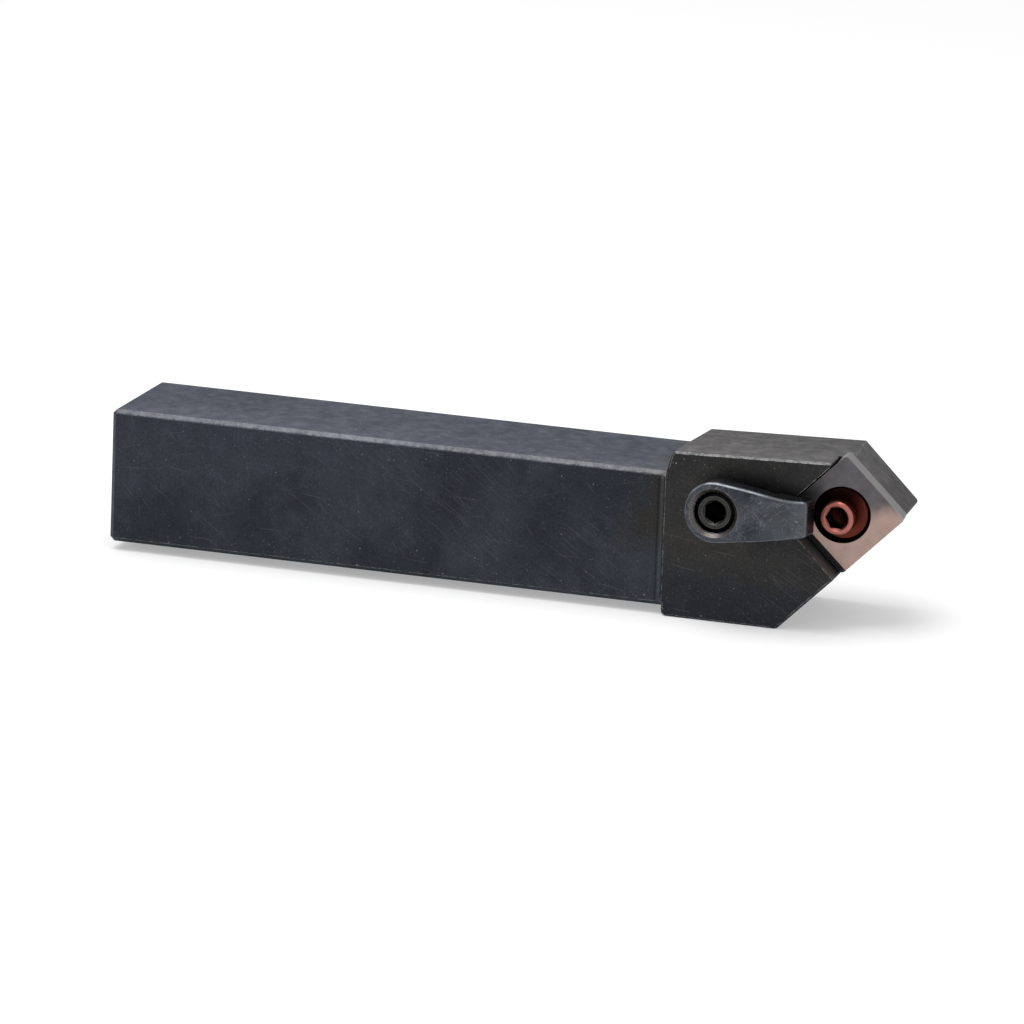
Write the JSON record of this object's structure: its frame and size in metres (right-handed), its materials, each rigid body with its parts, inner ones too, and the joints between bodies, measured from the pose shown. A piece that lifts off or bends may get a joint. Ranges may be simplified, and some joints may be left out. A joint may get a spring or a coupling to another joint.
{
  "type": "external turning tool holder",
  "caption": "Square-shank offset turning tool holder with a 45 degree pocket for a square negative insert, with shim, lock pin and top clamp, shown without its insert.",
  "frame": {"origin": "centre of the shank's rear end face", "axes": "+X along the shank to the cutting tip, -Y out of the side that the chip runs over, +Z towards the side corner of the insert, across the shank on the offset side"},
  "size_m": [0.1904, 0.0416, 0.0408],
  "materials": {
    "holder_steel": "black oxide over milled and ground alloy steel, satin, worn bright along the edges",
    "shim_metal": "ground and bare, satin",
    "pin_finish": "turned steel with a thin copper-coloured finish, satin",
    "screw_steel": "black oxide, slightly oily",
    "clamp_steel": "forged steel, tumbled and blackened, glossy with fine random scratches"
  },
  "bodies": {
    "holder": {"holder_body": "holder_steel", "shim": "shim_metal"},
    "lock_pin": {"lock_pin": "pin_finish"},
    "clamp_screw": {"clamp_screw": "screw_steel"},
    "clamp": {"clamp": "clamp_steel"}
  },
  "joints": [
    {"name": "clamp_screw_lift", "type": "slide", "parent": "holder", "child": "clamp_screw", "axis": [0, -1, 0], "range_m": [0, 0.003]},
    {"name": "clamp_swivel", "type": "hinge", "parent": "clamp_screw", "child": "clamp", "pos_m": [0.15002, -0.01707, 0.00988], "axis": [0, -1, 0], "range_deg": [-60, 60]},
    {"name": "lock_pin_turn", "type": "hinge", "parent": "holder", "child": "lock_pin", "pos_m": [0.17621, -0.00956, 0.00925], "axis": [0, -1, 0], "range_deg": [0, 180]}
  ]
}
